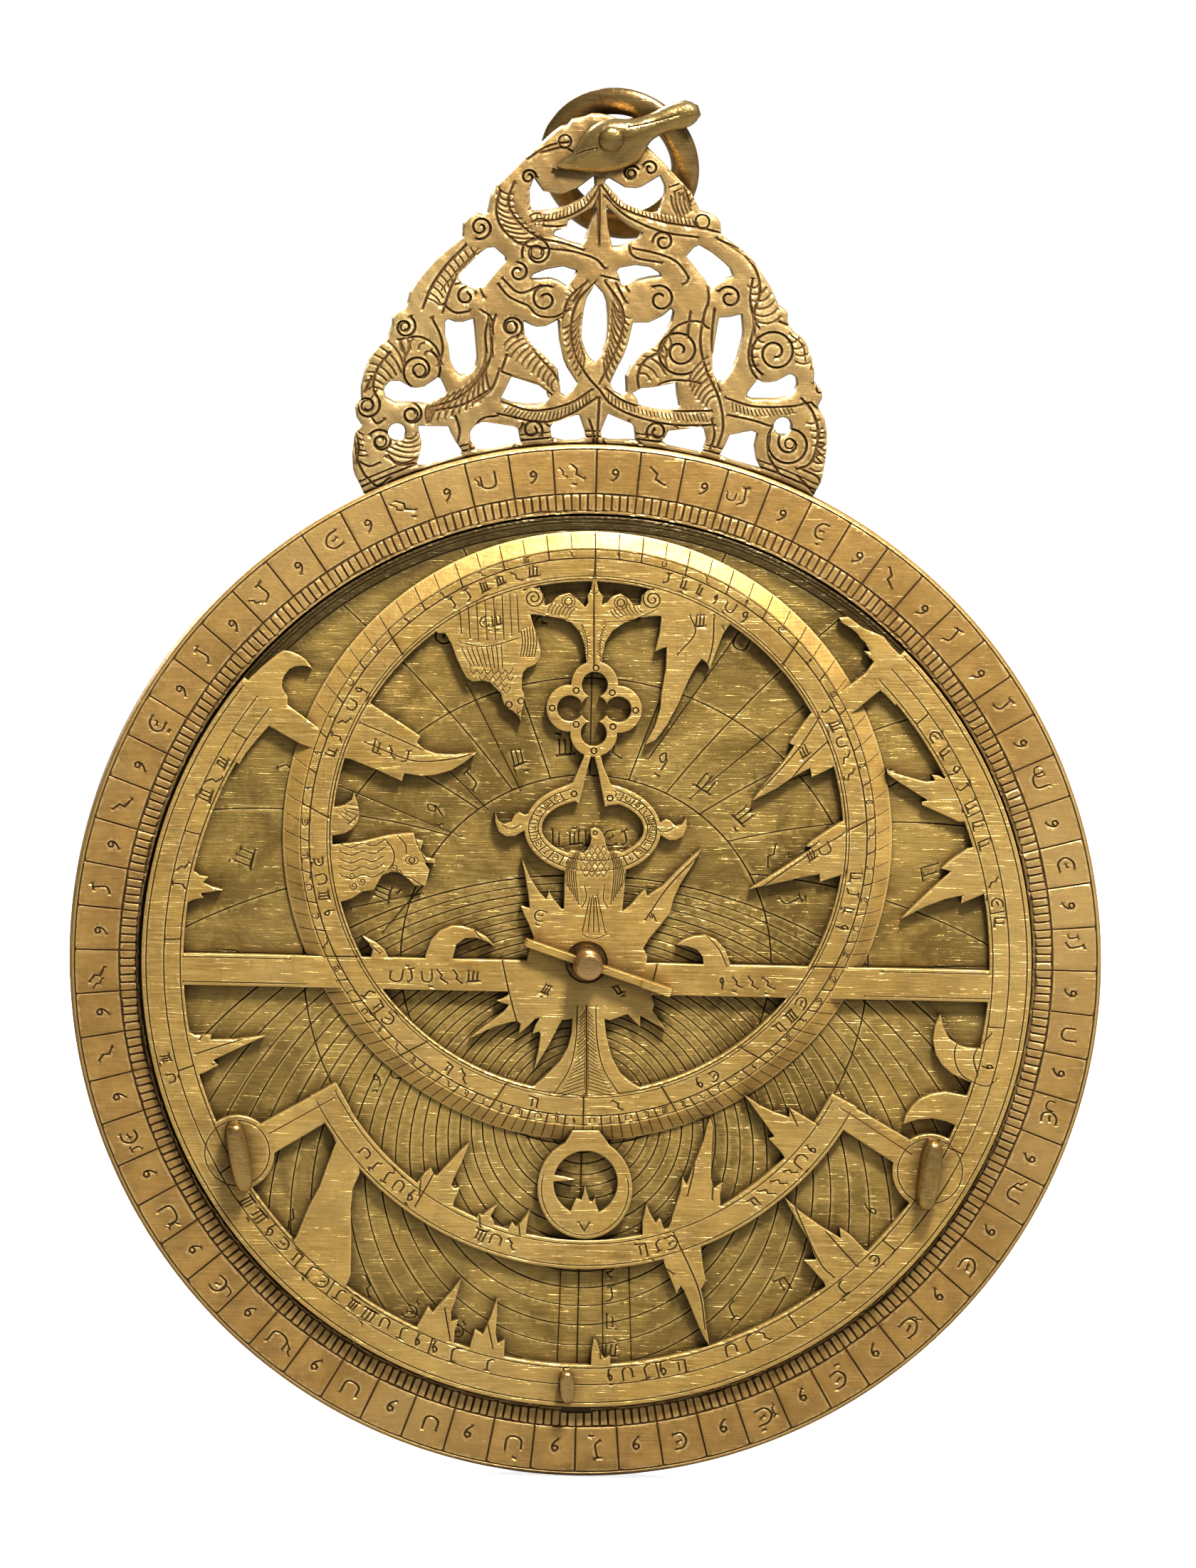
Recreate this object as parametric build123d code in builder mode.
from build123d import *
import math
import os

# Brass planispheric astrolabe, assembled, hung upright.
# +Z is up towards the throne, +X is right in the front view, and the front face looks
# along -Y.  The origin is on the pin axis in the plane of the limb's front face.
# All values are millimetres and degrees; angles run from +X towards +Z.

# ---- mater: back plate, limb and throne ----------------------------------------------
LIMB_R = 75.5            # outer radius of the limb
RECESS_R = 65.4          # inner radius of the limb, the recess that holds the plates
LIMB_T = 3.6             # thickness of the limb ring, the recess depth
BACK_T = 1.6             # thickness of the mater's back plate
EDGE_BREAK = 0.35        # worn outer edges of limb and back plate

THRONE_FRONT_Y = 0.4
THRONE_T = 2.4
THRONE_HOLE_R = 1.28
THRONE_HOLES = [(-29.24, 76.6), (27.2, 78.7)]       # X, Z
THRONE_FOOT_STEPS = 48

BACK_FRONT_Y = LIMB_T
BACK_REAR_Y = BACK_FRONT_Y + BACK_T
THRONE_BACK_Y = THRONE_FRONT_Y + THRONE_T

# ---- latitude plates -----------------------------------------------------------------
PLATE_R = 65.0
PLATE_T = 0.82
PLATE_GAP = 0.03
PLATE_COUNT = 4
LUG_W = 4.0              # lug that stops the plates turning
LUG_R = 66.1
LUG_ROOT_R = PLATE_R - 1.0
NOTCH_W = LUG_W + 0.2    # notch in the limb for the lugs
NOTCH_R = LUG_R + 0.1

# ---- rete, the pierced star map ------------------------------------------------------
RETE_R = PLATE_R
RETE_RING_IN_R = 58.9
RETE_RING_ARC = (141.5, 405.6)   # outer ring, open at the top
RETE_RING_STEPS = 220
RETE_BACK_Y = 0.15
RETE_T = 1.5
RETE_FRONT_Y = RETE_BACK_Y - RETE_T
RETE_HUB_R = 8.45

ECL_X, ECL_Z = -0.18, 18.24      # centre of the ecliptic ring
ECL_IN_R = 37.36
ECL_FLAT_R = 42.27               # where the bevel starts
ECL_OUT_R = 44.54
ECL_EDGE_T = 0.3
ECL_OVERLAP = 0.6                # extruded ring stops this far inside the bevel

BAND_IN_R, BAND_OUT_R = 40.7, 44.85
BAND_ARC = (207.2, 333.0)        # inner band across the lower half
BAND_STEPS = 110
BAR_HALF_L = 60.5
BAR_TOP_Z, BAR_BOTTOM_Z = 0.0, -4.6
PAD_R = 5.45
PADS = [(-50.4, -29.0), (50.8, -29.5)]       # X, Z

# horseshoe: centre, radii along X and Z, first angle, last angle, steps
HORSESHOE_OUTER = ((0.47, 19.4), (9.97, 6.75), 104, 436, 83)
HORSESHOE_INNER = ((0.5, 19.5), (7.44, 4.2), 432, 108, 81)

LOOP_CENTRE, LOOP_RADII = (0.49, -33.12), (6.92, 7.34)
LOOP_HOLE_CENTRE, LOOP_HOLE_R = (0.57, -32.29), 4.7

QUAT_CENTRE = (0.33, 36.96)
QUAT_LOBES = [(0.33, 40.5), (-3.21, 36.96), (3.87, 36.96), (0.33, 33.4)]
QUAT_LOBE_R, QUAT_LOBE_HOLE_R = 3.42, 1.9
QUAT_CENTRE_HOLE_R = 2.0

# name: X, Z, length, width, height, direction of the long axis
RETE_KNOBS = {
    "rete_knob_left": (-50.15, -29.2, 10.2, 3.1, 3.4, 101.7),
    "rete_knob_right": (50.55, -29.6, 10.2, 3.1, 3.4, 83.1),
    "rete_knob_bottom": (-1.6, -61.9, 4.5, 2.2, 1.9, 93.0),
}
KNOB_ROUNDING = 0.42             # fillet as a share of the lesser of width and height

# ---- alidade and its sight vanes, on the back ----------------------------------------
ALIDADE_HALF_L = 71.0
ALIDADE_W = 9.0
ALIDADE_T = 1.8
ALIDADE_HUB_R = 9.5
ALIDADE_GAP = 0.05
ALIDADE_ANGLE = 63.0
ALIDADE_TIP_HALF_W = 0.35
ALIDADE_TIP_L = 7
ALIDADE_WAIST_HALF_W = ALIDADE_W / 2 - 1.6
VANE_POS = 52.0                  # vane's distance from the pin axis
VANE_W = 11.0
VANE_H = 13.0
VANE_T = 1.4
VANE_GAP = 0.02
VANE_CORNER_R = 2.6
VANE_HOLES = [(4.2, 0.75), (9.6, 0.45)]      # height above the alidade, radius
TENON_SLOT_W = 4.0
TENON_W = TENON_SLOT_W - 0.04
TENON_H = ALIDADE_T - 0.6
TENON_SHIFT = 0.5                # tenon centre, rearwards of mid-thickness

ALIDADE_FRONT_Y = BACK_REAR_Y + ALIDADE_GAP
ALIDADE_REAR_Y = ALIDADE_FRONT_Y + ALIDADE_T
ALIDADE_TURN = Rot(0, -ALIDADE_ANGLE, 0)

# ---- central pin and the wedge ("horse") that locks it -------------------------------
PIN_R = 2.92
BORE_R = PIN_R + 0.08            # hole through plates, rete, back plate and alidade
PIN_CONE_BASE_R = 2.4
PIN_CONE_TIP_R = 1.65
PIN_NOSE_R = PIN_CONE_TIP_R * 0.72
PIN_TIP_Y = -6.3
PIN_HEAD_R = 5.0
PIN_HEAD_T = 1.8
PIN_HEAD_CHAMFER = 0.6
PIN_HEAD_Y = ALIDADE_REAR_Y + 0.05
PIN_SHOULDER_Y = RETE_FRONT_Y + 0.35

WEDGE_ANGLE = -17.7
WEDGE_LEFT, WEDGE_RIGHT = -9.6, 12.8
WEDGE_W = 1.15
WEDGE_SEAT_Y = -1.42
# side view: distance along the wedge, Y from its seat
WEDGE_PROFILE = [
    (WEDGE_LEFT, 0), (WEDGE_RIGHT, 0), (WEDGE_RIGHT, -2.75), (8.4, -2.75), (8.0, -2.32),
    (WEDGE_LEFT + 0.3, -1.75), (WEDGE_LEFT, -1.45),
]
PIN_SLOT_L = 12
PIN_SLOT_W = WEDGE_W + 0.1
PIN_SLOT_DEPTH = 2.42            # along Y
PIN_SLOT_BACK_Y = WEDGE_SEAT_Y + 0.02

# ---- shackle, its rivet and the suspension ring --------------------------------------
RIVET = (0.9, 120.3)             # X, Z of the shackle pivot in the top of the throne
RIVET_R = 1.35
RIVET_BORE_R = RIVET_R + 0.07
RIVET_FRONT_HEAD_R, RIVET_FRONT_CHAMFER = 1.9, 0.4
RIVET_REAR_HEAD_R, RIVET_REAR_CHAMFER = 1.95, 0.3
RIVET_HEAD_T = 0.75
RIVET_HEAD_GAP = 0.03
RIVET_SHAFT_PROUD = 0.05         # shaft runs past the shackle into each head

STRAP_ANGLE = 18.8               # direction of the shackle at rest, above horizontal
STRAP_LENGTH = 14.0              # pivot to the outside of the fold
STRAP_W = 2.9
STRAP_END_R = 2.9                # round end of the rear strap, at the pivot
FOLD_T = 1.2
FOLD_EXTRA = 1.2                 # fold runs this far forward of the leaf's back
EYE_REACH = 4.4                  # fold to eye centre
EYE_HALF = 2.7
LEAF_BACK_Y = 0.35
LEAF_T = 2.7
LEAF_CHAMFER = 0.55
REAR_STRAP_T = 1.3
SPACER_R = 2.7                   # boss between throne and rear strap
SPACER_OVERLAP = 0.2
SPACER_GAP = 0.05
BORE_CUT_START = 1               # rivet bore is cut from this far behind the rear strap
BORE_CUT_LENGTH = 12

FOLD_POS = STRAP_LENGTH - FOLD_T / 2            # distances along the strap
EYE_POS = STRAP_LENGTH - FOLD_T - EYE_REACH
LEAF_FRONT_Y = LEAF_BACK_Y - LEAF_T
EYE_Y = LEAF_BACK_Y + EYE_HALF
REAR_STRAP_Y = LEAF_BACK_Y + 2 * EYE_HALF
REAR_FACE_Y = REAR_STRAP_Y + REAR_STRAP_T

RING_R = 9.85                    # suspension ring, centreline radius
RING_HALF_W = 2.15
RING_HALF_T = 1.15
RING_FLAT_HALF_W = 0.5           # flat on each side of the section
RING_EDGE_HALF_T = 0.35          # thin inner and outer edges of the section
RING_TILT = 26.0                 # lean of the ring behind the throne
RING_DIRECTION = 229.0           # from the eye to the ring's centre

# ---- pierced outlines of the rete, (X, Z) --------------------------------------------
RETE_SHAPES = {
    "pad_arm_left": [
        (-48.06, -24.83), (-47.23, -24.81), (-39.67, -20.52), (-36.20, -18.38), (-33.85, -22.47),
        (-37.53, -24.30), (-44.98, -28.90), (-47.12, -29.98), (-49.21, -28.99),
    ],
    "pad_arm_right": [
        (34.87, -21.54), (36.36, -18.52), (39.71, -20.51), (47.65, -24.89), (49.98, -27.43),
        (47.96, -29.85), (45.03, -28.05), (38.23, -23.85),
    ],
    "loop_shoulder": [
        (-2.74, -26.98), (-1.55, -24.68), (2.38, -24.60), (4.29, -27.15), (1.95, -28.95),
        (-1.15, -29.02),
    ],
    "hook": [
        (-50.65, 39.72), (-48.42, 41.93), (-46.09, 43.95), (-45.17, 44.48), (-44.34, 44.40),
        (-42.99, 43.91), (-41.94, 43.21), (-40.88, 41.88), (-41.61, 42.28), (-42.44, 42.37),
        (-43.47, 42.24), (-44.29, 41.81), (-44.99, 40.97), (-45.29, 40.14), (-45.37, 39.31),
        (-45.15, 38.69), (-44.51, 37.78), (-44.49, 36.54), (-42.29, 35.03), (-38.93, 32.62),
        (-39.29, 30.13), (-41.16, 30.51), (-42.41, 30.90), (-44.81, 32.19), (-47.11, 33.48),
        (-48.83, 31.48), (-50.44, 29.38), (-51.33, 27.81), (-53.74, 29.31), (-52.66, 37.09),
    ],
    "tail": [
        (35.83, 51.04), (37.17, 51.17), (39.27, 49.66), (42.40, 48.38), (43.57, 46.96), (45.88, 44.84),
        (47.53, 40.22), (44.26, 38.50), (42.99, 39.82), (42.04, 40.62), (38.08, 37.23), (35.18, 37.69),
        (34.71, 40.47), (36.37, 40.30), (39.93, 43.06), (40.43, 43.90), (41.03, 44.74), (39.55, 46.26),
        (40.48, 46.17), (39.73, 47.50), (38.99, 48.10), (38.56, 48.82), (37.51, 49.62), (36.26, 50.32),
    ],
    "left_upper_pointer": [
        (-59.18, 12.66), (-57.20, 11.77), (-56.78, 11.37), (-55.53, 11.19), (-56.24, 10.35),
        (-54.88, 9.75), (-53.32, 9.37), (-55.18, 9.03), (-56.62, 8.79), (-56.09, 8.18), (-57.43, 7.94),
        (-59.48, 6.97),
    ],
    "left_lower_pointer": [
        (-58.68, -11.20), (-56.91, -11.99), (-54.53, -11.84), (-54.72, -12.57), (-51.11, -12.49),
        (-46.58, -11.78), (-50.57, -13.72), (-54.25, -15.56), (-53.41, -16.26), (-55.55, -17.44),
        (-57.71, -18.32),
    ],
    "right_beak": [
        (43.21, 29.17), (43.84, 28.67), (46.24, 28.00), (49.04, 27.33), (50.38, 27.57), (49.85, 28.38),
        (50.88, 28.30), (51.61, 27.90), (53.14, 28.97), (56.19, 21.80), (53.91, 21.65), (53.08, 22.04),
        (50.99, 22.93), (48.49, 24.01), (48.48, 24.43), (49.41, 24.65), (47.84, 25.55), (46.27, 26.55),
        (44.70, 27.45), (43.33, 28.45),
    ],
    "right_dagger": [
        (55.34, 17.75), (52.69, 15.83), (51.58, 14.78), (52.93, 14.39), (51.21, 12.70), (48.17, 9.74),
        (45.84, 7.32), (49.22, 9.14), (52.29, 10.35), (54.66, 10.91), (54.47, 9.77), (55.91, 10.32),
        (57.55, 11.08), (59.69, 12.36), (58.32, 18.74),
    ],
    "right_crescent_upper": [
        (51.82, -6.51), (51.13, -8.28), (50.86, -10.36), (51.32, -12.41), (52.28, -13.94), (53.86, -15.25),
        (56.47, -16.34), (59.03, -15.35), (59.46, -11.21), (57.40, -11.46), (56.05, -11.38),
        (54.81, -11.10), (53.24, -10.10), (52.38, -8.57),
    ],
    "right_crescent_lower": [
        (46.78, -22.64), (47.27, -21.18), (48.07, -20.03), (49.18, -18.97), (50.82, -18.21),
        (52.88, -17.86), (55.58, -18.32), (58.06, -18.47), (56.61, -23.16), (54.33, -22.69),
        (52.97, -22.10), (50.90, -21.73), (48.83, -21.97),
    ],
    "fang": [
        (-32.51, 37.20), (-31.57, 36.50), (-30.41, 35.80), (-27.27, 33.90), (-24.97, 32.40),
        (-25.47, 31.46), (-24.31, 30.45), (-22.54, 29.86), (-19.95, 29.82), (-16.76, 30.19),
        (-18.38, 28.81), (-20.42, 27.53), (-22.68, 26.86), (-24.54, 26.62), (-27.23, 26.98),
        (-27.52, 25.83), (-30.75, 27.21), (-35.13, 28.88), (-37.20, 29.14), (-35.06, 35.39),
    ],
    "leaf": [
        (-38.70, 21.88), (-37.05, 21.81), (-35.81, 22.14), (-34.80, 22.89), (-34.51, 24.03),
        (-33.96, 22.49), (-33.62, 20.95), (-33.90, 19.70), (-34.71, 18.65), (-35.73, 18.01),
        (-37.27, 17.67), (-39.02, 17.53),
    ],
    "bull": [
        (-38.59, 16.71), (-37.35, 16.32), (-33.22, 16.82), (-29.42, 17.83), (-26.64, 18.20),
        (-25.60, 18.22), (-25.38, 17.40), (-24.23, 17.12), (-24.62, 15.76), (-23.77, 14.75),
        (-22.42, 14.47), (-22.41, 13.95), (-23.96, 14.02), (-23.22, 12.90), (-23.79, 10.61),
        (-25.24, 10.58), (-26.50, 11.69), (-27.65, 12.50), (-28.79, 12.58), (-30.12, 12.03),
        (-31.32, 9.84), (-32.86, 9.60), (-34.49, 8.53), (-35.73, 8.09), (-38.40, 7.41),
    ],
    "bird": [
        (-23.75, 48.24), (-22.70, 47.54), (-21.67, 47.56), (-20.81, 46.23), (-19.94, 43.98),
        (-19.18, 42.44), (-18.43, 41.11), (-17.60, 40.61), (-16.05, 40.75), (-15.01, 40.56),
        (-14.17, 39.76), (-13.32, 38.95), (-13.09, 37.92), (-12.77, 37.30), (-12.14, 36.70),
        (-11.51, 36.40), (-10.77, 35.69), (-10.24, 34.67), (-10.36, 35.91), (-10.18, 36.95),
        (-9.89, 37.98), (-10.02, 39.02), (-10.34, 39.53), (-10.37, 41.08), (-10.18, 42.11), (-9.58, 42.75),
        (-8.55, 43.18), (-7.85, 44.02), (-7.67, 45.27), (-8.23, 47.32), (-8.78, 48.86), (-9.33, 50.61),
        (-10.08, 51.83), (-10.44, 54.51), (-14.76, 53.39),
    ],
    "bracket": [
        (-10.38, 51.41), (-10.51, 52.65), (-10.43, 53.89), (-9.41, 54.53), (-8.07, 54.46), (-7.43, 53.54),
        (-7.19, 51.89), (-6.16, 52.33), (-5.66, 53.06), (-4.94, 53.49), (-3.61, 53.83), (-2.35, 52.82),
        (-1.29, 51.81), (-0.89, 52.44), (-1.02, 53.47), (-0.52, 54.31), (-0.34, 55.55), (-0.58, 57.30),
        (0.25, 57.32), (0.28, 55.56), (0.62, 54.23), (1.26, 53.41), (1.08, 52.17), (1.79, 52.49),
        (2.60, 53.44), (3.83, 53.88), (4.88, 53.18), (5.94, 52.17), (6.76, 52.29), (6.94, 53.63),
        (7.75, 54.48), (8.77, 54.81), (9.61, 54.31), (11.07, 53.93), (10.62, 50.82), (8.03, 50.66),
        (6.49, 50.42), (4.44, 49.65), (2.71, 48.38), (1.71, 46.70), (1.24, 44.42), (1.27, 42.87),
        (-0.90, 42.82), (-0.92, 43.86), (-1.28, 46.43), (-2.04, 48.18), (-3.31, 49.49), (-4.87, 50.08),
        (-7.26, 50.44), (-9.33, 50.61),
    ],
    "top_bolt": [
        (11.06, 54.44), (9.89, 51.01), (9.64, 48.21), (9.07, 45.62), (10.71, 46.27), (10.67, 43.07),
        (10.13, 39.44), (9.97, 37.16), (9.20, 34.46), (7.91, 31.95), (9.24, 32.49), (10.95, 34.80),
        (12.64, 38.15), (14.01, 41.59), (15.01, 43.47), (15.81, 44.62), (16.54, 44.12), (17.08, 43.10),
        (17.76, 45.28), (18.93, 48.41), (19.84, 49.77), (20.95, 51.03), (16.23, 54.04),
    ],
    "right_bolt_upper": [
        (33.10, 38.37), (31.89, 36.90), (30.59, 35.01), (28.98, 32.60), (29.71, 32.30), (28.31, 30.00),
        (25.59, 26.63), (23.78, 24.12), (27.16, 25.94), (29.70, 27.75), (32.05, 29.04), (32.29, 27.71),
        (33.93, 28.46), (35.66, 29.43), (37.39, 30.71), (35.74, 35.84),
    ],
    "right_bolt_lower": [
        (38.60, 22.46), (37.27, 21.61), (35.03, 20.11), (32.49, 18.30), (31.78, 17.57), (32.71, 17.48),
        (31.29, 16.31), (27.41, 13.65), (23.64, 11.19), (27.45, 12.10), (31.56, 13.12), (33.72, 13.57),
        (33.85, 12.44), (36.72, 13.43), (38.57, 14.19),
    ],
    "legs_left": [
        (-0.96, 30.94), (-1.04, 29.90), (-1.82, 27.82), (-2.61, 26.04), (-3.84, 25.50), (-3.80, 23.44),
        (-3.18, 23.55), (-2.25, 23.47), (-1.62, 23.17), (-0.96, 25.98), (-0.48, 28.05), (-0.01, 30.13),
        (-0.03, 30.96),
    ],
    "legs_right": [
        (0.49, 30.97), (0.51, 29.93), (1.07, 28.08), (1.64, 25.31), (2.21, 22.73), (3.03, 22.96),
        (4.48, 23.19), (4.42, 25.67), (3.08, 25.85), (2.53, 27.08), (1.78, 28.72), (1.44, 30.16),
        (1.42, 30.99),
    ],
    "spur_left": [
        (-8.72, 21.47), (-9.54, 21.25), (-10.27, 21.65), (-10.99, 21.11), (-11.48, 20.17), (-12.51, 19.84),
        (-13.35, 20.34), (-13.79, 21.57), (-13.76, 20.13), (-13.21, 18.79), (-12.16, 18.09),
        (-10.92, 18.12), (-9.49, 18.97), (-8.68, 19.41),
    ],
    "spur_right": [
        (9.71, 20.00), (10.42, 20.63), (11.14, 21.06), (11.76, 20.87), (12.60, 20.06), (13.43, 20.28),
        (14.13, 21.33), (14.16, 19.88), (13.67, 18.63), (12.64, 18.09), (11.61, 18.07), (10.57, 18.67),
        (9.53, 18.75),
    ],
    "eagle": [
        (-3.46, 12.28), (-3.52, 14.86), (-3.33, 15.69), (-2.61, 16.22), (-1.58, 16.14), (-0.85, 15.85),
        (-0.24, 16.27), (0.16, 17.01), (0.35, 18.04), (0.12, 18.87), (0.21, 19.38), (0.73, 19.60),
        (1.45, 19.41), (1.98, 18.80), (2.31, 17.88), (2.54, 16.75), (2.97, 16.13), (3.79, 16.26),
        (4.62, 16.17), (5.26, 15.56), (5.48, 14.53), (5.34, 11.43), (5.18, 9.36), (5.03, 6.77),
        (-3.45, 6.59),
    ],
    "hub": [
        (-9.72, 14.84), (-8.52, 12.17), (-7.14, 10.03), (-6.08, 9.02), (-5.69, 10.17), (-5.05, 9.15),
        (-3.78, 7.62), (-0.38, 8.21), (1.99, 8.47), (4.91, 7.39), (6.13, 8.35), (7.34, 9.82),
        (8.35, 10.77), (8.68, 9.85), (10.93, 11.34), (12.95, 13.55), (14.97, 15.56), (16.49, 16.93),
        (15.00, 14.22), (13.50, 11.81), (12.51, 9.51), (12.04, 7.44), (11.04, 6.07), (10.03, 4.81),
        (9.02, 3.55), (8.22, 2.19), (8.87, 1.06), (8.69, -0.39), (9.72, -5.02), (10.05, -6.04),
        (9.75, -6.77), (11.78, -9.62), (9.27, -8.33), (8.02, -7.64), (8.05, -9.29), (6.15, -7.47),
        (3.59, -8.45), (2.86, -8.26), (-2.10, -8.36), (-3.44, -8.60), (-4.13, -9.96), (-5.12, -12.05),
        (-6.32, -14.14), (-7.22, -15.71), (-7.03, -14.67), (-6.66, -12.59), (-6.49, -10.73),
        (-6.71, -10.32), (-7.63, -10.65), (-7.25, -9.30), (-6.55, -8.25), (-7.26, -8.47), (-8.28, -9.53),
        (-9.60, -10.69), (-9.60, -10.38), (-9.42, -9.24), (-9.94, -8.84), (-11.08, -9.07), (-13.44, -9.84),
        (-16.71, -11.46), (-15.49, -10.40), (-13.46, -8.81), (-11.94, -7.54), (-11.13, -6.49),
        (-11.96, -6.30), (-13.00, -5.91), (-12.28, -5.68), (-11.26, -5.04), (-11.28, -4.42),
        (-8.97, -1.27), (-8.31, 1.84), (-7.72, 3.30), (-8.59, 5.45), (-9.13, 6.48), (-9.78, 8.01),
        (-8.43, 7.63), (-8.68, 9.59), (-9.26, 12.67),
    ],
    "stem": [
        (-1.90, -7.84), (-1.95, -10.43), (-2.43, -12.51), (-3.52, -14.60), (-5.54, -16.71),
        (-7.06, -18.18), (-8.59, -19.04), (-8.04, -20.89), (9.53, -20.52), (9.28, -18.67), (7.92, -18.08),
        (6.88, -17.48), (5.30, -16.17), (4.01, -13.92), (3.12, -10.84), (2.75, -7.75),
    ],
    "bar_thorn_left": [
        (-31.61, -0.71), (-31.24, 1.15), (-32.73, 3.09), (-30.74, 2.10), (-29.48, 1.09), (-28.62, -0.65),
    ],
    "bar_hook_left": [
        (-23.55, -0.75), (-23.57, 0.28), (-22.79, 2.57), (-21.48, 4.05), (-19.74, 4.81), (-18.40, 4.83),
        (-16.63, 4.35), (-14.75, 3.36), (-13.48, 2.04), (-14.73, 2.74), (-16.30, 3.22), (-17.84, 3.09),
        (-19.06, 2.13), (-19.54, 0.16), (-19.52, -0.67),
    ],
    "bar_hook_right": [
        (21.11, -1.16), (20.98, 0.18), (20.21, 2.23), (18.84, 3.65), (17.28, 4.24), (15.73, 4.10),
        (14.19, 3.55), (13.17, 2.81), (14.73, 2.63), (16.08, 2.15), (16.93, 1.13), (17.16, -0.31),
        (16.98, -1.25),
    ],
    "loop_prong_left": [
        (-4.73, -30.95), (-3.89, -31.24), (-2.65, -31.43), (-1.09, -31.81), (-2.64, -32.05),
        (-3.98, -32.18), (-4.70, -32.40),
    ],
    "loop_prong_low": [
        (-1.69, -37.81), (-1.51, -36.47), (-1.02, -35.11), (-0.72, -34.59), (0.01, -34.78), (0.30, -33.84),
        (0.48, -32.60), (0.81, -33.83), (1.25, -34.96), (1.66, -34.95), (2.06, -34.32), (2.08, -35.25),
        (2.84, -37.00), (2.86, -37.72),
    ],
    "band_spike_left": [
        (-24.32, -33.12), (-23.61, -32.28), (-22.81, -31.23), (-22.00, -30.59), (-21.67, -31.51),
        (-21.15, -31.71), (-19.23, -29.60), (-17.61, -27.81), (-16.49, -26.75), (-17.67, -29.88),
        (-18.66, -31.97), (-19.05, -33.11), (-18.42, -33.51), (-17.80, -33.29), (-18.09, -34.23),
        (-18.59, -35.38), (-18.86, -37.14),
    ],
    "band_hook_left": [
        (-15.72, -38.83), (-15.33, -37.89), (-14.93, -37.26), (-14.31, -37.35), (-13.09, -36.30),
        (-12.07, -35.65), (-12.67, -36.49), (-13.17, -37.43), (-12.63, -38.35), (-12.81, -39.60),
    ],
    "band_claw": [
        (-10.93, -40.59), (-10.55, -39.14), (-10.05, -38.20), (-9.42, -38.91), (-8.71, -38.27),
        (-8.01, -37.22), (-7.40, -36.38), (-7.78, -37.94), (-7.96, -39.50), (-7.81, -41.56),
    ],
    "band_spike_mid": [
        (9.03, -41.21), (9.06, -37.59), (9.52, -35.10), (10.07, -36.53), (10.92, -37.86), (11.53, -37.12),
        (12.18, -38.76), (13.55, -40.08),
    ],
    "band_spike_right": [
        (12.01, -40.63), (12.80, -38.85), (13.67, -35.94), (14.45, -33.34), (14.71, -31.17),
        (15.35, -32.19), (16.43, -29.17), (17.70, -25.73), (18.17, -23.44), (18.56, -22.40),
        (19.00, -23.63), (18.87, -27.56), (18.85, -31.29), (19.39, -32.62), (20.51, -31.77),
        (20.24, -33.53), (20.41, -36.83),
    ],
    "band_blade_right": [
        (23.45, -18.89), (25.86, -20.49), (28.15, -21.48), (30.13, -22.06), (30.10, -20.71),
        (32.29, -21.91), (33.65, -22.71), (35.95, -23.59), (31.41, -28.85), (29.63, -27.96),
        (28.57, -26.64), (27.20, -25.22), (28.02, -24.89), (26.63, -23.06), (24.83, -20.72),
    ],
    "band_spike_down": [
        (12.06, -42.69), (12.39, -43.93), (14.24, -48.13), (14.83, -46.98), (15.26, -47.59),
        (16.89, -51.38), (18.30, -54.45), (19.15, -55.57), (18.57, -52.38), (18.19, -49.28),
        (17.74, -47.43), (18.44, -46.18), (17.98, -44.12), (17.49, -40.51),
    ],
    "low_spike_a": [
        (-24.36, -55.86), (-23.88, -54.30), (-22.88, -52.52), (-21.99, -50.75), (-21.35, -51.66),
        (-20.34, -50.50), (-18.82, -48.82), (-17.32, -46.72), (-17.98, -49.52), (-18.66, -51.61),
        (-18.63, -52.95), (-17.61, -52.62), (-18.08, -54.49), (-18.31, -58.32),
    ],
    "low_spike_b": [
        (-16.13, -58.79), (-15.77, -56.40), (-15.10, -54.01), (-13.94, -54.71), (-12.86, -52.21),
        (-11.99, -49.40), (-11.93, -51.98), (-12.09, -54.57), (-11.75, -56.01), (-10.73, -55.37),
        (-10.84, -59.71),
    ],
    "low_spike_c": [
        (1.89, -60.48), (2.01, -56.65), (2.29, -54.99), (2.71, -55.40), (3.26, -57.04), (3.90, -57.85),
        (4.72, -57.42), (4.78, -60.42),
    ],
    "strut_left": [
        (-36.89, -25.11), (-36.02, -27.16), (-37.48, -31.33), (-38.26, -33.72), (-39.75, -36.65),
        (-41.42, -40.92), (-42.71, -43.32), (-34.33, -48.83), (-33.45, -46.44), (-33.46, -41.06),
        (-33.65, -36.93), (-33.40, -33.83), (-32.42, -31.53), (-33.20, -28.65),
    ],
    "ring_blade_right": [
        (29.65, -33.75), (32.07, -35.87), (35.21, -37.97), (38.04, -39.57), (37.80, -38.02),
        (39.58, -39.22), (41.59, -41.25), (44.09, -42.02), (36.99, -48.89), (35.69, -46.02),
        (34.11, -44.30), (32.73, -42.88), (34.49, -42.74), (33.50, -40.18), (31.58, -37.12),
    ],
}

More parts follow.
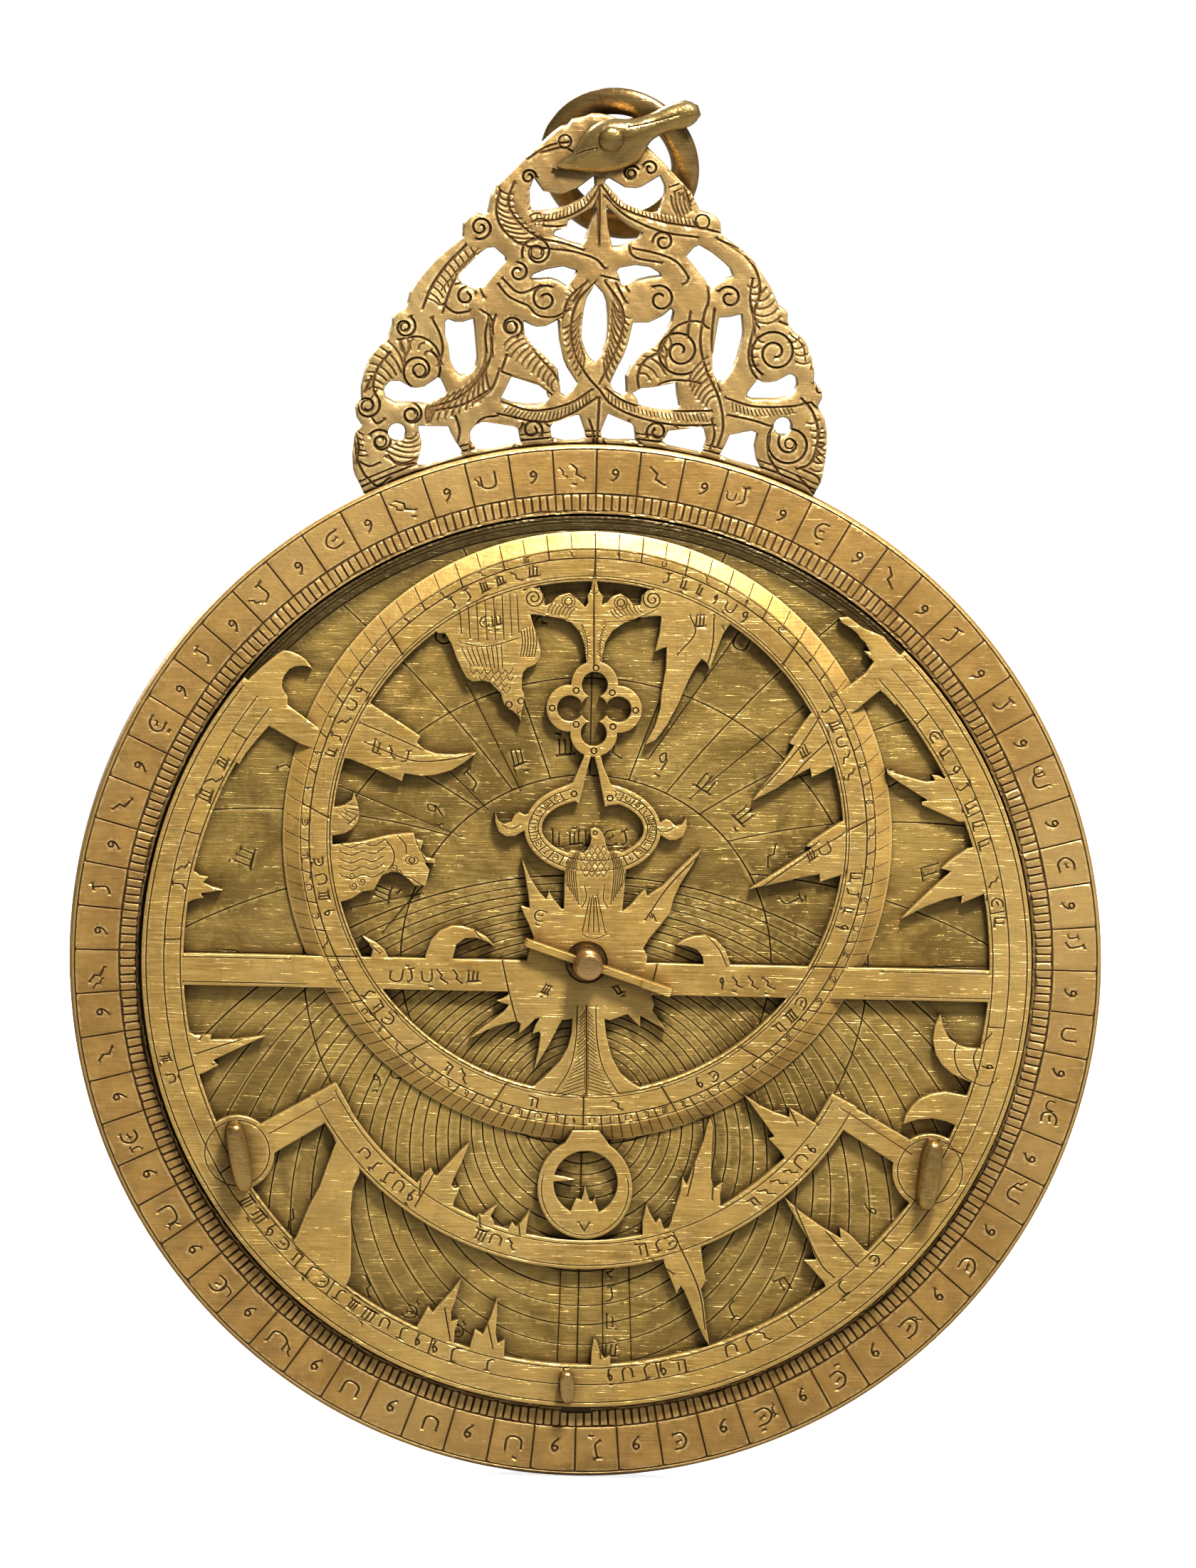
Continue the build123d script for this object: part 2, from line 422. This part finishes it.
# ---- throne outline, left foot over the top to right foot, (X, Z) --------------------
THRONE_OUTLINE = [
    (-34.81, 69.38), (-35.13, 69.89), (-35.47, 70.82), (-35.62, 72.90), (-35.37, 75.82), (-35.17, 76.45),
    (-34.47, 77.61), (-35.12, 78.53), (-35.35, 79.78), (-35.16, 80.51), (-34.55, 81.36), (-34.59, 83.12),
    (-34.12, 85.22), (-33.33, 87.42), (-32.63, 88.58), (-32.02, 89.22), (-31.00, 90.18), (-30.70, 90.81),
    (-30.21, 92.28), (-30.23, 93.21), (-29.83, 93.95), (-29.22, 94.49), (-28.60, 94.71), (-28.09, 95.34),
    (-27.71, 97.12), (-26.71, 98.91), (-25.80, 100.08), (-24.38, 101.78), (-22.34, 103.69),
    (-20.19, 105.41), (-20.13, 107.39), (-19.32, 108.45), (-18.29, 108.89), (-17.34, 108.70),
    (-16.62, 109.03), (-16.16, 111.53), (-15.56, 112.90), (-11.59, 116.94), (-8.63, 119.61),
    (-7.30, 120.89), (-6.07, 121.85), (-5.14, 122.08), (-4.43, 122.93), (-2.57, 123.39), (-1.64, 123.83),
    (-0.39, 123.85), (0.97, 123.57), (3.28, 122.68), (4.87, 121.16), (6.58, 119.11), (9.03, 116.77),
    (11.06, 114.63), (13.08, 112.59), (14.38, 110.01), (16.16, 109.53), (16.90, 109.03), (17.44, 108.21),
    (17.58, 106.65), (18.01, 106.24), (20.65, 104.42), (22.35, 102.90), (23.75, 100.85), (24.93, 99.10),
    (25.69, 97.56), (26.24, 96.32), (27.08, 95.92), (27.62, 95.21), (27.54, 94.06), (27.97, 93.24),
    (28.83, 92.21), (29.56, 91.92), (30.21, 91.10), (30.64, 90.27), (31.19, 88.93), (31.53, 87.59),
    (31.66, 86.34), (31.58, 85.51), (32.22, 84.58), (32.86, 83.87), (32.88, 82.93), (32.29, 81.67),
    (33.37, 79.82), (33.72, 77.85), (33.69, 74.72), (33.33, 72.22), (32.95, 70.44), (32.35, 69.38),
]
# Pierced openings in the throne, (X, Z)
THRONE_OPENINGS = [
    [(-9.97, 114.27), (-8.57, 112.32), (-5.96, 111.86), (-3.59, 112.85), (-1.13, 114.78), (-1.00, 113.43),
     (-2.21, 111.73), (-4.99, 110.22), (-7.78, 109.53), (-10.17, 109.37), (-10.51, 110.62),
     (-10.56, 112.59)],
    [(0.35, 113.77), (0.65, 114.30), (1.06, 114.41), (3.38, 113.11), (4.95, 113.04), (5.77, 113.26),
     (8.14, 114.77), (8.55, 114.89), (9.21, 113.44), (9.23, 112.61), (8.65, 110.31), (8.35, 109.67),
     (7.52, 109.45), (6.16, 109.73), (4.59, 110.22), (3.23, 110.81), (2.05, 112.04)],
    [(0.74, 110.13), (2.86, 108.31), (4.55, 107.20), (6.03, 106.50), (5.32, 105.55), (3.15, 104.56),
     (1.70, 104.43), (1.02, 107.02)],
    [(-6.98, 105.90), (-6.68, 106.54), (-5.02, 107.09), (-4.84, 108.03), (-2.16, 109.55), (-0.82, 110.10),
     (-1.50, 107.69), (-2.28, 105.28), (-2.78, 104.64), (-4.77, 105.12)],
    [(19.49, 100.44), (18.35, 100.11), (16.30, 98.60), (15.33, 99.94), (12.55, 103.21), (13.57, 104.48),
     (14.39, 104.91), (16.50, 103.71), (18.19, 102.39), (19.04, 101.58)],
    [(-20.78, 99.25), (-20.39, 100.20), (-17.74, 102.96), (-16.61, 103.82), (-15.57, 103.95),
     (-13.88, 102.53), (-13.87, 102.01), (-15.19, 100.62), (-17.01, 98.19), (-18.25, 97.64),
     (-19.93, 98.44)],
    [(8.87, 100.32), (7.10, 100.07), (5.34, 99.61), (3.60, 98.64), (3.18, 98.73), (2.73, 100.18),
     (2.40, 100.80), (2.81, 101.33), (5.09, 101.79), (7.28, 101.53), (8.65, 100.73)],
    [(-10.17, 99.48), (-9.76, 100.12), (-7.91, 100.89), (-5.42, 101.36), (-3.43, 100.78), (-3.62, 100.15),
     (-4.84, 98.56), (-6.21, 99.36), (-7.26, 99.65), (-8.81, 99.51)],
    [(-0.68, 98.86), (0.60, 97.43), (1.04, 96.29), (1.30, 94.01), (1.34, 92.03), (1.17, 90.46),
     (0.58, 88.89), (-0.54, 87.51), (-1.38, 88.22), (-1.93, 89.25), (-2.48, 90.80), (-2.52, 92.57),
     (-2.26, 95.18), (-1.88, 96.85)],
    [(10.53, 95.56), (10.86, 95.05), (10.58, 93.69), (10.08, 92.64), (7.95, 89.88), (6.20, 88.91),
     (4.99, 87.22), (4.09, 85.43), (4.25, 83.14), (3.53, 82.71), (2.37, 83.31), (1.94, 83.92),
     (1.92, 84.65), (2.81, 86.75), (3.71, 88.54), (4.39, 90.64), (4.96, 93.36), (5.90, 93.38),
     (7.25, 93.41), (9.21, 94.39)],
    [(17.64, 84.99), (16.99, 85.92), (16.77, 86.74), (16.72, 88.72), (17.35, 93.21), (17.54, 94.36),
     (19.20, 94.50), (20.86, 94.95), (21.12, 92.46), (21.04, 91.42), (20.37, 88.59), (19.88, 87.33),
     (18.97, 85.85), (18.26, 85.11)],
    [(-18.37, 93.47), (-18.12, 91.61), (-17.72, 87.66), (-17.90, 86.61), (-18.41, 85.77), (-19.12, 85.23),
     (-20.06, 85.11), (-20.91, 85.82), (-21.67, 87.26), (-22.03, 89.65), (-22.47, 90.78), (-22.52, 92.97),
     (-22.11, 93.29), (-21.06, 92.89), (-19.92, 92.92)],
    [(-4.80, 82.52), (-5.43, 82.82), (-5.45, 83.76), (-5.92, 86.25), (-6.77, 87.17), (-7.94, 88.29),
     (-9.00, 89.10), (-9.75, 89.81), (-10.82, 91.24), (-11.07, 93.22), (-9.81, 92.62), (-9.08, 92.43),
     (-7.83, 92.56), (-5.98, 93.54), (-5.70, 90.52), (-5.02, 87.73), (-4.47, 86.49), (-3.07, 84.44),
     (-3.77, 83.28)],
    [(21.85, 82.90), (21.94, 83.52), (23.35, 85.43), (24.20, 85.03), (25.13, 85.05), (26.17, 85.28),
     (27.92, 86.26), (28.44, 86.27), (29.07, 85.76), (29.20, 84.83), (28.91, 83.88), (27.99, 83.03),
     (26.54, 82.69), (22.79, 82.61)],
    [(-7.19, 82.16), (-7.79, 81.31), (-8.83, 81.08), (-10.49, 81.05), (-12.58, 81.31), (-14.16, 81.90),
     (-13.46, 83.27), (-12.66, 85.06), (-8.68, 83.90), (-7.41, 82.99)],
    [(-31.25, 82.57), (-31.16, 83.20), (-30.34, 84.05), (-28.99, 84.08), (-27.30, 83.18), (-26.47, 83.09),
     (-25.43, 83.32), (-23.38, 84.72), (-22.96, 84.52), (-22.09, 82.77), (-22.39, 82.14), (-23.72, 81.38),
     (-25.07, 80.83), (-26.84, 81.00), (-29.55, 80.94), (-30.91, 81.64)],
    [(5.08, 83.05), (6.42, 83.81), (8.18, 83.95), (11.50, 84.75), (11.64, 82.99), (11.99, 81.33),
     (11.38, 80.80), (10.44, 80.57), (8.36, 80.73), (6.79, 81.11), (6.06, 81.30), (5.83, 82.13)],
    [(5.75, 76.20), (2.11, 76.12), (0.75, 76.40), (0.62, 77.33), (1.31, 79.22), (1.61, 79.96),
     (2.76, 79.46), (5.07, 78.58), (5.50, 78.06)],
    [(-6.54, 76.24), (-6.78, 77.80), (-6.48, 78.32), (-3.17, 79.64), (-2.55, 79.66), (-1.66, 77.18),
     (-1.55, 76.56), (-1.74, 76.14), (-2.78, 75.91), (-4.76, 75.86)],
    [(-11.10, 75.62), (-11.62, 75.30), (-13.90, 74.73), (-16.28, 74.26), (-17.43, 74.23), (-18.39, 75.56),
     (-18.52, 76.92), (-17.71, 77.87), (-16.89, 78.30), (-16.16, 78.32), (-12.09, 77.78), (-11.45, 77.38)],
    [(-26.01, 71.75), (-26.13, 72.17), (-25.74, 73.74), (-25.57, 75.10), (-26.13, 77.27), (-26.04, 77.58),
     (-21.66, 77.58), (-21.33, 76.65), (-20.57, 75.31), (-19.61, 73.98), (-19.70, 73.56), (-24.97, 71.78)],
    [(9.50, 76.17), (10.01, 76.60), (10.51, 77.65), (12.69, 77.91), (15.28, 78.38), (15.81, 77.87),
     (16.16, 76.42), (15.77, 75.16), (15.05, 74.63), (10.45, 75.47), (9.92, 75.97)],
    [(24.16, 72.43), (19.66, 73.58), (18.08, 74.28), (18.88, 75.75), (19.47, 77.22), (22.68, 77.92),
     (23.53, 77.52), (23.15, 75.64), (23.51, 73.67)],
]
# Front leaf of the shackle, (X, Z)
SHACKLE_LEAF = [
    (-7.30, 115.89), (-5.14, 117.40), (-3.73, 119.41), (-3.03, 120.67), (-1.50, 122.27), (0.87, 123.15),
    (4.20, 123.22), (6.99, 124.22), (8.85, 125.20), (10.81, 125.87), (11.74, 126.10), (12.68, 125.91),
    (13.42, 125.40), (13.75, 124.79), (13.76, 124.06), (13.57, 123.22), (12.66, 122.37), (11.31, 121.92),
    (8.93, 121.24), (7.08, 120.16), (6.17, 118.79), (5.27, 117.31), (3.42, 116.13), (1.04, 115.45),
    (-1.35, 115.19), (-4.16, 115.44), (-6.04, 115.61),
]


# ---- shared helpers ------------------------------------------------------------------
def front_plane(y):
    """Plane parallel to the face, local x = +X, local y = +Z, extruding towards the front."""
    return Plane.XZ.offset(-y)


def unit(angle):
    """Unit direction (X, Z) at an angle in the face."""
    return math.cos(math.radians(angle)), math.sin(math.radians(angle))


def arc_points(centre, radii, start, end, steps):
    """Evenly spaced (X, Z) points on an elliptical arc, both ends included."""
    directions = [unit(start + (end - start) * i / steps) for i in range(steps + 1)]
    return [(centre[0] + radii[0] * x, centre[1] + radii[1] * z) for x, z in directions]


def ring_sector(inner_r, outer_r, arc, steps):
    """Closed outline of a ring sector about the pin axis."""
    start, end = arc
    outer = arc_points((0, 0), (outer_r, outer_r), start, end, steps)
    return outer + arc_points((0, 0), (inner_r, inner_r), end, start, steps)


def along_strap(distance):
    """(X, Z) at a distance from the rivet along the shackle strap."""
    x, z = unit(STRAP_ANGLE)
    return RIVET[0] + distance * x, RIVET[1] + distance * z


# ---- mater ---------------------------------------------------------------------------
def make_mater_back():
    with BuildPart() as back:
        with BuildSketch(front_plane(BACK_REAR_Y)):
            Circle(LIMB_R)
            Circle(BORE_R, mode=Mode.SUBTRACT)
        extrude(amount=BACK_T)
        chamfer(back.faces().sort_by(Axis.Y)[-1].outer_wire().edges(), EDGE_BREAK)
    return back.part


def make_limb_ring():
    with BuildPart() as limb:
        with BuildSketch(front_plane(BACK_FRONT_Y)):
            Circle(LIMB_R)
            Circle(RECESS_R, mode=Mode.SUBTRACT)
            with Locations((0, -RECESS_R)):
                Rectangle(NOTCH_W, 2 * (NOTCH_R - RECESS_R), mode=Mode.SUBTRACT)
        extrude(amount=LIMB_T)
        chamfer(limb.faces().sort_by(Axis.Y)[0].outer_wire().edges(), EDGE_BREAK)
    return limb.part


def make_throne():
    left_foot, right_foot = [
        math.degrees(math.atan2(z, x)) for x, z in (THRONE_OUTLINE[0], THRONE_OUTLINE[-1])
    ]
    # the outline closes along the limb's edge
    foot = arc_points((0, 0), (LIMB_R, LIMB_R), right_foot, left_foot, THRONE_FOOT_STEPS)
    with BuildPart() as throne:
        with BuildSketch(front_plane(THRONE_BACK_Y)):
            with BuildLine():
                Polyline(*THRONE_OUTLINE, *foot, close=True)
            make_face()
            for opening in THRONE_OPENINGS:
                with BuildLine():
                    Polyline(*opening, close=True)
                make_face(mode=Mode.SUBTRACT)
            with Locations(*THRONE_HOLES):
                Circle(THRONE_HOLE_R, mode=Mode.SUBTRACT)
            with Locations(RIVET):
                Circle(RIVET_BORE_R, mode=Mode.SUBTRACT)
            Circle(LIMB_R, mode=Mode.SUBTRACT)
        extrude(amount=THRONE_T)
    return throne.part


# ---- latitude plates -----------------------------------------------------------------
def make_plate(rear_y):
    with BuildPart() as plate:
        with BuildSketch(front_plane(rear_y)):
            Circle(PLATE_R)
            with Locations((0, -(LUG_ROOT_R + LUG_R) / 2)):
                Rectangle(LUG_W, LUG_R - LUG_ROOT_R)
            Circle(BORE_R, mode=Mode.SUBTRACT)
        extrude(amount=PLATE_T)
    return plate.part


# ---- rete ----------------------------------------------------------------------------
def make_rete():
    with BuildPart() as rete:
        with BuildSketch(front_plane(RETE_BACK_Y)):
            # flat zone of the ecliptic ring; its bevelled edge is revolved below
            with Locations((ECL_X, ECL_Z)):
                Circle(ECL_FLAT_R - ECL_OVERLAP)
                Circle(ECL_IN_R, mode=Mode.SUBTRACT)
            for outline in (
                ring_sector(RETE_RING_IN_R, RETE_R, RETE_RING_ARC, RETE_RING_STEPS),
                ring_sector(BAND_IN_R, BAND_OUT_R, BAND_ARC, BAND_STEPS),
            ):
                with BuildLine():
                    Polyline(*outline, close=True)
                make_face()
            with Locations((0, (BAR_TOP_Z + BAR_BOTTOM_Z) / 2)):
                Rectangle(2 * BAR_HALF_L, BAR_TOP_Z - BAR_BOTTOM_Z)
            Circle(RETE_HUB_R)
            with Locations(*PADS):
                Circle(PAD_R)
            for outline in RETE_SHAPES.values():
                with BuildLine():
                    Polyline(*outline, close=True)
                make_face()
            # horseshoe below the quatrefoil
            with BuildLine():
                Polyline(
                    *arc_points(*HORSESHOE_OUTER), *arc_points(*HORSESHOE_INNER), close=True
                )
            make_face()
            # bottom loop; its hole trims the prongs, so they are added again
            with Locations(LOOP_CENTRE):
                Ellipse(*LOOP_RADII)
            with Locations(LOOP_HOLE_CENTRE):
                Circle(LOOP_HOLE_R, mode=Mode.SUBTRACT)
            for name in ("loop_prong_left", "loop_prong_low"):
                with BuildLine():
                    Polyline(*RETE_SHAPES[name], close=True)
                make_face()
            # quatrefoil
            with Locations(*QUAT_LOBES):
                Circle(QUAT_LOBE_R)
            with Locations(*QUAT_LOBES):
                Circle(QUAT_LOBE_HOLE_R, mode=Mode.SUBTRACT)
            with Locations(QUAT_CENTRE):
                Circle(QUAT_CENTRE_HOLE_R, mode=Mode.SUBTRACT)
            Circle(BORE_R, mode=Mode.SUBTRACT)
        extrude(amount=RETE_T)
        # ecliptic ring with its bevelled edge; local x = radius, local y = +Y
        ecliptic_centre = (ECL_X, RETE_BACK_Y, ECL_Z)
        with BuildSketch(Plane(origin=ecliptic_centre, x_dir=(1, 0, 0), z_dir=(0, 0, 1))):
            with BuildLine():
                Polyline(
                    (ECL_IN_R, 0),
                    (ECL_IN_R, -RETE_T),
                    (ECL_FLAT_R, -RETE_T),
                    (ECL_OUT_R, -ECL_EDGE_T),
                    (ECL_OUT_R, 0),
                    close=True,
                )
            make_face()
        revolve(axis=Axis(ecliptic_centre, (0, 1, 0)))
    return rete.part


def make_rete_knob(x, z, length, width, height, angle):
    """Round-ended knob standing on the front of the rete."""
    with BuildPart() as knob:
        with BuildSketch(front_plane(RETE_FRONT_Y)):
            with Locations((x, z)):
                SlotOverall(length, width, rotation=angle)
        extrude(amount=height)
        front_edges = knob.faces().sort_by(Axis.Y)[0].edges()
        fillet(front_edges, min(width, height) * KNOB_ROUNDING)
    return knob.part


# ---- central pin and wedge -----------------------------------------------------------
def make_central_pin():
    with BuildPart() as pin:
        with BuildSketch(front_plane(PIN_HEAD_Y)):
            Circle(PIN_R)
        extrude(amount=PIN_HEAD_Y - PIN_SHOULDER_Y)
        # tapered front end
        with BuildSketch(Plane.XY):
            with BuildLine():
                Polyline(
                    (0, PIN_SHOULDER_Y),
                    (PIN_CONE_BASE_R, PIN_SHOULDER_Y),
                    (PIN_CONE_TIP_R, PIN_TIP_Y + 0.35),
                    (PIN_NOSE_R, PIN_TIP_Y + 0.08),
                    (0, PIN_TIP_Y),
                    close=True,
                )
            make_face()
        revolve(axis=Axis.Y)
        # rear head
        with BuildSketch(front_plane(PIN_HEAD_Y + PIN_HEAD_T)):
            Circle(PIN_HEAD_R)
        extrude(amount=PIN_HEAD_T)
        chamfer(pin.faces().sort_by(Axis.Y)[-1].edges(), PIN_HEAD_CHAMFER)
        # slot for the wedge
        with BuildSketch(front_plane(PIN_SLOT_BACK_Y)):
            Rectangle(PIN_SLOT_L, PIN_SLOT_W, rotation=WEDGE_ANGLE)
        extrude(amount=PIN_SLOT_DEPTH, mode=Mode.SUBTRACT)
    return pin.part


def make_horse_wedge():
    x, z = unit(WEDGE_ANGLE)
    # local x runs along the wedge, local y = +Y
    side = Plane(origin=(0, WEDGE_SEAT_Y, 0), x_dir=(x, 0, z), z_dir=(-z, 0, x))
    with BuildPart() as wedge:
        with BuildSketch(side.offset(-WEDGE_W / 2)):
            with BuildLine():
                Polyline(*WEDGE_PROFILE, close=True)
            make_face()
        extrude(amount=WEDGE_W)
    return wedge.part


# ---- alidade and sight vanes, modelled along X and then turned -----------------------
def make_alidade():
    right_upper = [
        (ALIDADE_HALF_L, ALIDADE_TIP_HALF_W),
        (ALIDADE_HALF_L - ALIDADE_TIP_L, ALIDADE_W / 2),
        (VANE_POS - 9, ALIDADE_W / 2),
        (VANE_POS - 13, ALIDADE_WAIST_HALF_W),
        (ALIDADE_HUB_R + 6, ALIDADE_WAIST_HALF_W),
        (ALIDADE_HUB_R, ALIDADE_W / 2),
    ]
    upper = right_upper + [(-x, z) for x, z in reversed(right_upper)]
    lower = [(x, -z) for x, z in reversed(upper)]
    with BuildPart() as alidade:
        with BuildSketch(front_plane(ALIDADE_REAR_Y)):
            with BuildLine():
                Polyline(*upper, *lower, close=True)
            make_face()
            Circle(ALIDADE_HUB_R)
            Circle(BORE_R, mode=Mode.SUBTRACT)
            with Locations((VANE_POS, 0), (-VANE_POS, 0)):
                Rectangle(VANE_T, TENON_SLOT_W, mode=Mode.SUBTRACT)
        extrude(amount=ALIDADE_T)
    return ALIDADE_TURN * alidade.part


def make_sight_vane(x):
    """Upright plate with two sighting holes and a foot tenon let into the alidade."""
    with BuildPart() as vane:
        with BuildSketch(Plane.YZ.offset(x - VANE_T / 2)):
            with Locations((ALIDADE_REAR_Y + VANE_H / 2 + VANE_GAP, 0)):
                Rectangle(VANE_H, VANE_W)
            with Locations((ALIDADE_FRONT_Y + ALIDADE_T / 2 + TENON_SHIFT, 0)):
                Rectangle(TENON_H, TENON_W)
        extrude(amount=VANE_T)
        with BuildSketch(Plane.YZ.offset(x - VANE_T)):
            for height, radius in VANE_HOLES:
                with Locations((ALIDADE_REAR_Y + height, 0)):
                    Circle(radius)
        extrude(amount=2 * VANE_T, mode=Mode.SUBTRACT)
        # corners at the end furthest from the alidade
        corners = [
            edge
            for edge in vane.edges().filter_by(Axis.X)
            if edge.center().Y > ALIDADE_REAR_Y + VANE_H - 0.5
        ]
        fillet(corners, VANE_CORNER_R)
    return ALIDADE_TURN * vane.part


# ---- shackle, rivet and suspension ring ----------------------------------------------
def make_shackle():
    with BuildPart() as shackle:
        # front leaf
        with BuildSketch(front_plane(LEAF_BACK_Y)):
            with BuildLine():
                Polyline(*SHACKLE_LEAF, close=True)
            make_face()
        extrude(amount=LEAF_T)
        chamfer(shackle.faces().sort_by(Axis.Y)[0].edges(), LEAF_CHAMFER)
        # fold joining the leaf to the rear strap
        with BuildSketch(front_plane(REAR_FACE_Y)):
            with Locations(along_strap(FOLD_POS)):
                Rectangle(FOLD_T, STRAP_W, rotation=STRAP_ANGLE)
        extrude(amount=2 * EYE_HALF + REAR_STRAP_T + FOLD_EXTRA)
        # rear strap
        with BuildSketch(front_plane(REAR_FACE_Y)):
            with Locations(along_strap(FOLD_POS / 2)):
                Rectangle(FOLD_POS, STRAP_W, rotation=STRAP_ANGLE)
            with Locations(RIVET):
                Circle(STRAP_END_R)
        extrude(amount=REAR_STRAP_T)
        # spacer boss behind the throne
        spacer_rear_y = REAR_STRAP_Y + SPACER_OVERLAP
        with BuildSketch(front_plane(spacer_rear_y)):
            with Locations(RIVET):
                Circle(SPACER_R)
        extrude(amount=spacer_rear_y - THRONE_BACK_Y - SPACER_GAP)
        # rivet bore
        with BuildSketch(front_plane(REAR_FACE_Y + BORE_CUT_START)):
            with Locations(RIVET):
                Circle(RIVET_BORE_R)
        extrude(amount=BORE_CUT_LENGTH, mode=Mode.SUBTRACT)
    return shackle.part


def make_shackle_rivet():
    with BuildPart() as rivet:
        with BuildSketch(front_plane(REAR_FACE_Y + RIVET_SHAFT_PROUD)):
            with Locations(RIVET):
                Circle(RIVET_R)
        extrude(amount=REAR_FACE_Y - LEAF_FRONT_Y + 2 * RIVET_SHAFT_PROUD)
        with BuildSketch(front_plane(LEAF_FRONT_Y - RIVET_HEAD_GAP)):
            with Locations(RIVET):
                Circle(RIVET_FRONT_HEAD_R)
        extrude(amount=RIVET_HEAD_T)
        chamfer(rivet.faces().sort_by(Axis.Y)[0].edges(), RIVET_FRONT_CHAMFER)
        with BuildSketch(front_plane(REAR_FACE_Y + RIVET_HEAD_GAP + RIVET_HEAD_T)):
            with Locations(RIVET):
                Circle(RIVET_REAR_HEAD_R)
        extrude(amount=RIVET_HEAD_T)
        chamfer(rivet.faces().sort_by(Axis.Y)[-1].edges(), RIVET_REAR_CHAMFER)
    return rivet.part


def make_suspension_ring():
    """Ring through the eye, folded back behind the throne and leaning away from it."""
    x, z = unit(RING_DIRECTION)
    flat, rearward = unit(RING_TILT)
    to_centre = Vector(x * flat, rearward, z * flat)
    tangent = Vector(z, 0, -x)
    eye_x, eye_z = along_strap(EYE_POS)
    centre = Vector(eye_x, EYE_Y, eye_z) + to_centre * RING_R
    inner_edge, outer_edge = RING_R - RING_HALF_W, RING_R + RING_HALF_W
    inner_flat, outer_flat = RING_R - RING_FLAT_HALF_W, RING_R + RING_FLAT_HALF_W
    with BuildPart() as ring:
        with BuildSketch(Plane(origin=centre, x_dir=-to_centre, z_dir=tangent)):
            with BuildLine():
                Polyline(
                    (inner_edge, -RING_EDGE_HALF_T),
                    (inner_flat, -RING_HALF_T),
                    (outer_flat, -RING_HALF_T),
                    (outer_edge, -RING_EDGE_HALF_T),
                    (outer_edge, RING_EDGE_HALF_T),
                    (outer_flat, RING_HALF_T),
                    (inner_flat, RING_HALF_T),
                    (inner_edge, RING_EDGE_HALF_T),
                    close=True,
                )
            make_face()
        revolve(axis=Axis(centre, to_centre.cross(tangent)))
    return ring.part


# ---- build and export ----------------------------------------------------------------
pieces = {
    "mater_back": make_mater_back(),
    "limb_ring": make_limb_ring(),
    "throne": make_throne(),
}
# the highest-numbered plate lies deepest in the recess
for k in range(PLATE_COUNT):
    plate_rear_y = BACK_FRONT_Y - PLATE_GAP - k * (PLATE_T + PLATE_GAP)
    pieces[f"plate_{PLATE_COUNT - k}"] = make_plate(plate_rear_y)
pieces["rete"] = make_rete()
for knob_name, knob_values in RETE_KNOBS.items():
    pieces[knob_name] = make_rete_knob(*knob_values)
pieces["central_pin"] = make_central_pin()
pieces["horse_wedge"] = make_horse_wedge()
pieces["alidade"] = make_alidade()
pieces["sight_vane_upper"] = make_sight_vane(VANE_POS)
pieces["sight_vane_lower"] = make_sight_vane(-VANE_POS)
pieces["shackle"] = make_shackle()
pieces["shackle_rivet"] = make_shackle_rivet()
pieces["suspension_ring"] = make_suspension_ring()

os.makedirs("parts", exist_ok=True)
for piece_name, piece in pieces.items():
    piece.label = piece_name
    export_step(piece, f"parts/{piece_name}.step")
